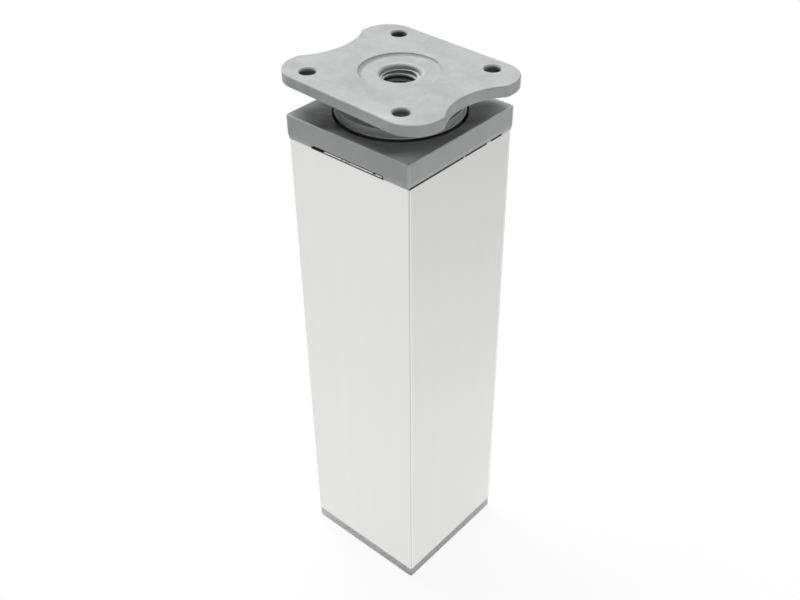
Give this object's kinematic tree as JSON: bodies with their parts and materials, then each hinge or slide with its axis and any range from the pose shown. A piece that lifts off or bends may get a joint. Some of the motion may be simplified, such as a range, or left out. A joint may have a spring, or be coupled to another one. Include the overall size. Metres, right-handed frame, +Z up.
{
  "type": "adjustable cabinet leg",
  "caption": "Square aluminium cabinet leg with a grey foot cap, a collar, a hand disc on a lifting screw and a scalloped fixing plate.",
  "frame": {"origin": "middle of the foot cap's underside, on the floor", "axes": "+Z up along the leg towards the fixing plate, X and Y square to the tube's faces; -Y is the face with the visible prising notch and +X the face with the open seam"},
  "size_m": [0.0516, 0.0438, 0.1587],
  "materials": {
    "tube": "satin anodised, natural silver",
    "collar": "moulded grey polyamide, fine matt grain",
    "disc": "moulded grey polyamide, fine matt grain",
    "plate": "moulded grey polyamide, satin with faint flow marks",
    "foot": "moulded grey polyamide, fine matt grain",
    "screw": "bright zinc plating",
    "washer": "plain bright steel",
    "ring": "blackened spring steel"
  },
  "bodies": {
    "leg": {"leg_tube": "tube", "foot_cap": "foot", "top_collar": "collar", "thrust_washer": "washer"},
    "spindle": {"adjusting_disc": "disc", "lift_screw": "screw", "retaining_ring": "ring"},
    "plate": {"mounting_plate": "plate"}
  },
  "joints": [
    {"name": "spindle_turn", "type": "hinge", "parent": "leg", "child": "spindle", "pos_m": [0, 0, 0.1496], "axis": [0, 0, 1], "range_deg": [-2399, 1187]},
    {"name": "plate_lift", "type": "slide", "parent": "leg", "child": "plate", "axis": [0, 0, 1], "range_m": [-0.00495, 0.01]}
  ],
  "couplings": [
    {"joint": "plate_lift", "follows": "spindle_turn", "m_per_rad": -0.00023873}
  ]
}
